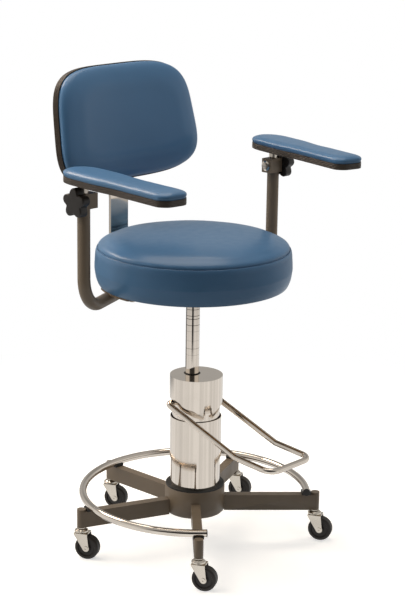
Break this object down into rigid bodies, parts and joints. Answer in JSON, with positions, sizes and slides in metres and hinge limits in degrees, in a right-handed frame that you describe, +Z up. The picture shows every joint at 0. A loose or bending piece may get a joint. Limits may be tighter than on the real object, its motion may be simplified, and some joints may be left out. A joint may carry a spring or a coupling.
{
  "type": "medical stool",
  "caption": "Foot-pumped operating stool on casters with a foot ring, round padded seat, bowed backrest and two swivelling armrests.",
  "frame": {"origin": "point on the floor under the axis of the pump column", "axes": "+Z up, -Y the way the sitter faces, +X to the sitter's left"},
  "size_m": [0.6541, 0.5731, 0.9916],
  "materials": {
    "taupe_paint": "semi-gloss taupe powder coat",
    "black_rubber": "matt black rubber",
    "chrome": "bright chrome plate",
    "zinc_steel": "zinc-plated steel",
    "caster_rubber": "matt black rubber",
    "plywood": "clear-sealed plywood",
    "blue_vinyl": "satin slate-blue vinyl upholstery over foam",
    "black_plastic": "matt black-brown moulded plastic"
  },
  "bodies": {
    "frame": {"base_hub": "taupe_paint", "leg_1": "taupe_paint", "leg_2": "taupe_paint", "leg_3": "taupe_paint", "leg_4": "taupe_paint", "leg_5": "taupe_paint", "hub_gasket": "black_rubber", "foot_ring": "chrome", "ring_caps": "black_rubber", "ring_saddles": "black_rubber", "ring_screws": "zinc_steel", "pump_bolt": "zinc_steel", "pump_body": "chrome", "column_cover": "chrome", "column_cap": "chrome", "filler_plug": "zinc_steel", "rod_seal": "black_rubber", "caster_stems": "zinc_steel"},
    "caster_1": {"caster_fork_1": "chrome"},
    "wheel_1": {"caster_wheel_1": "caster_rubber"},
    "caster_2": {"caster_fork_2": "chrome"},
    "wheel_2": {"caster_wheel_2": "caster_rubber"},
    "caster_3": {"caster_fork_3": "chrome"},
    "wheel_3": {"caster_wheel_3": "caster_rubber"},
    "caster_4": {"caster_fork_4": "chrome"},
    "wheel_4": {"caster_wheel_4": "caster_rubber"},
    "caster_5": {"caster_fork_5": "chrome"},
    "wheel_5": {"caster_wheel_5": "caster_rubber"},
    "lever": {"pump_lever": "chrome"},
    "lift": {"piston_rod": "chrome"},
    "seat": {"seat_hub": "taupe_paint", "seat_board": "plywood", "seat_cushion": "blue_vinyl", "board_screws": "zinc_steel", "arm_tube_left": "taupe_paint", "arm_tube_right": "taupe_paint", "arm_block_left": "taupe_paint", "arm_block_right": "taupe_paint", "block_screws": "chrome", "back_channel": "taupe_paint"},
    "back_slide": {"back_bar": "chrome"},
    "backrest": {"back_bracket": "taupe_paint", "back_board": "black_plastic", "back_edging": "black_rubber", "back_cushion": "blue_vinyl", "back_screws": "zinc_steel"},
    "depth_knob": {"back_depth_knob": "black_plastic"},
    "height_knob": {"back_height_knob": "black_plastic"},
    "left_arm_pin": {"arm_pin_left": "chrome"},
    "left_armrest": {"rest_plate_left": "taupe_paint", "rest_board_left": "black_plastic", "rest_pad_left": "blue_vinyl", "rest_screws_left": "zinc_steel"},
    "left_arm_knob": {"arm_knob_left": "black_plastic"},
    "right_arm_pin": {"arm_pin_right": "chrome"},
    "right_armrest": {"rest_plate_right": "taupe_paint", "rest_board_right": "black_plastic", "rest_pad_right": "blue_vinyl", "rest_screws_right": "zinc_steel"},
    "right_arm_knob": {"arm_knob_right": "black_plastic"}
  },
  "joints": [
    {"name": "caster_swivel_1", "type": "hinge", "parent": "frame", "child": "caster_1", "pos_m": [0.18158, -0.18158, 0.06], "axis": [0, 0, 1], "continuous": true},
    {"name": "wheel_spin_1", "type": "hinge", "parent": "caster_1", "child": "wheel_1", "pos_m": [0.18771, -0.19361, 0.0254], "axis": [0.891, 0.454, 0], "continuous": true},
    {"name": "caster_swivel_2", "type": "hinge", "parent": "frame", "child": "caster_2", "pos_m": [0.23725, 0.09827, 0.06], "axis": [0, 0, 1], "continuous": true},
    {"name": "wheel_spin_2", "type": "hinge", "parent": "caster_2", "child": "wheel_2", "pos_m": [0.24338, 0.08625, 0.0254], "axis": [0.891, 0.454, 0], "continuous": true},
    {"name": "caster_swivel_3", "type": "hinge", "parent": "frame", "child": "caster_3", "pos_m": [0, 0.2568, 0.06], "axis": [0, 0, 1], "continuous": true},
    {"name": "wheel_spin_3", "type": "hinge", "parent": "caster_3", "child": "wheel_3", "pos_m": [0.00613, 0.24477, 0.0254], "axis": [0.891, 0.454, 0], "continuous": true},
    {"name": "caster_swivel_4", "type": "hinge", "parent": "frame", "child": "caster_4", "pos_m": [-0.23725, 0.09827, 0.06], "axis": [0, 0, 1], "continuous": true},
    {"name": "wheel_spin_4", "type": "hinge", "parent": "caster_4", "child": "wheel_4", "pos_m": [-0.23112, 0.08625, 0.0254], "axis": [0.891, 0.454, 0], "continuous": true},
    {"name": "caster_swivel_5", "type": "hinge", "parent": "frame", "child": "caster_5", "pos_m": [-0.18158, -0.18158, 0.06], "axis": [0, 0, 1], "continuous": true},
    {"name": "wheel_spin_5", "type": "hinge", "parent": "caster_5", "child": "wheel_5", "pos_m": [-0.17546, -0.19361, 0.0254], "axis": [0.891, 0.454, 0], "continuous": true},
    {"name": "pump_stroke", "type": "hinge", "parent": "frame", "child": "lever", "pos_m": [0, 0.022, 0.3115], "axis": [1, 0, 0], "range_deg": [-6, 22], "stiffness_Nm_per_rad": 12, "springref_deg": -5.41},
    {"name": "seat_lift", "type": "slide", "parent": "frame", "child": "lift", "axis": [0, 0, 1], "range_m": [-0.1, 0.05]},
    {"name": "seat_swivel", "type": "hinge", "parent": "lift", "child": "seat", "pos_m": [0, 0.0123, 0.54], "axis": [0, 0, 1], "continuous": true},
    {"name": "back_depth", "type": "slide", "parent": "seat", "child": "back_slide", "axis": [0, 1, 0], "range_m": [-0.008, 0.035]},
    {"name": "back_raise", "type": "slide", "parent": "back_slide", "child": "backrest", "axis": [0, 0.1857, 0.9826], "range_m": [-0.03, 0.04]},
    {"name": "depth_knob_turn", "type": "hinge", "parent": "seat", "child": "depth_knob", "pos_m": [0, 0.136, 0.53], "axis": [0, 0, 1], "continuous": true},
    {"name": "height_knob_turn", "type": "hinge", "parent": "backrest", "child": "height_knob", "pos_m": [0, 0.28169, 0.86205], "axis": [0, 0.9826, -0.1857], "continuous": true},
    {"name": "left_arm_height", "type": "slide", "parent": "seat", "child": "left_arm_pin", "axis": [0, 0, 1], "range_m": [0, 0.075]},
    {"name": "left_arm_swivel", "type": "hinge", "parent": "left_arm_pin", "child": "left_armrest", "pos_m": [0.2798, 0.0427, 0.803], "axis": [0, 0, 1], "range_deg": [-30, 45]},
    {"name": "left_arm_knob_turn", "type": "hinge", "parent": "seat", "child": "left_arm_knob", "pos_m": [0.3032, 0.0383, 0.7695], "axis": [1, 0, 0], "continuous": true},
    {"name": "right_arm_height", "type": "slide", "parent": "seat", "child": "right_arm_pin", "axis": [0, 0, 1], "range_m": [0, 0.075]},
    {"name": "right_arm_swivel", "type": "hinge", "parent": "right_arm_pin", "child": "right_armrest", "pos_m": [-0.2798, 0.0427, 0.803], "axis": [0, 0, 1], "range_deg": [-40, 35]},
    {"name": "right_arm_knob_turn", "type": "hinge", "parent": "seat", "child": "right_arm_knob", "pos_m": [-0.3032, 0.0383, 0.7695], "axis": [1, 0, 0], "continuous": true}
  ]
}
